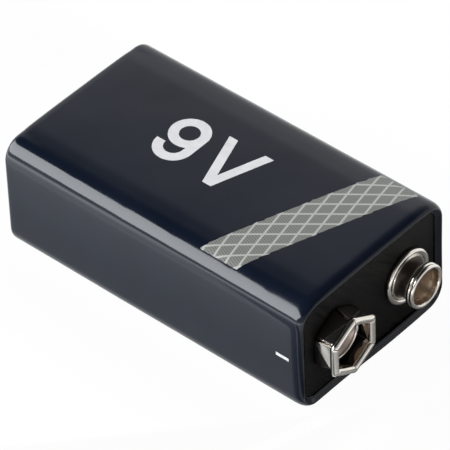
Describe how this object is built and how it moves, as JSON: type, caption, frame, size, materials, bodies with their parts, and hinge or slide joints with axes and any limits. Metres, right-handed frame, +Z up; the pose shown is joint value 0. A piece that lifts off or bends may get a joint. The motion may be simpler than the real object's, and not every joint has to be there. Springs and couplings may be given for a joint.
{
  "type": "nine volt battery",
  "caption": "Rectangular nine volt battery lying on its broad face, with rounded black case, rolled rims, and male and female snap terminals on one end.",
  "frame": {"origin": "under the middle of the whole battery, terminals included, on the surface that its broad face rests on", "axes": "+X along the case towards the snap terminals, +Y across the width towards the positive stud, +Z up through the thickness"},
  "size_m": [0.0486, 0.0256, 0.016],
  "materials": {
    "jacket": "glossy black lacquer with a faint blue cast, printed on thin steel sheet",
    "silver_print": "satin silver ink with a paler lattice",
    "white_print": "opaque white ink under the same clear lacquer",
    "end_plate": "matt black moulding with faint drag lines",
    "snap": "bright nickel plate on drawn steel",
    "rivet": "nickel plate",
    "strap": "nickel plated strip",
    "card": "brown fibre board",
    "cell_can": "nickel plated can",
    "cell_sleeve": "thin shrunk film"
  },
  "bodies": {
    "root": {"base_card": "card", "base_link_1": "strap", "base_link_2": "strap", "base_link_3": "strap", "base_plate": "end_plate", "cell_1": "cell_can", "cell_2": "cell_can", "cell_3": "cell_can", "cell_4": "cell_can", "cell_5": "cell_can", "cell_6": "cell_can", "cell_sleeve_1": "cell_sleeve", "cell_sleeve_2": "cell_sleeve", "cell_sleeve_3": "cell_sleeve", "cell_sleeve_4": "cell_sleeve", "cell_sleeve_5": "cell_sleeve", "cell_sleeve_6": "cell_sleeve", "jacket": "jacket", "negative_lead": "strap", "negative_rivet": "rivet", "negative_socket": "snap", "positive_lead": "strap", "positive_rivet": "rivet", "positive_stud": "snap", "silver_print": "silver_print", "terminal_plate": "end_plate", "top_card": "card", "top_link_1": "strap", "top_link_2": "strap", "white_print": "white_print"}
  },
  "joints": []
}
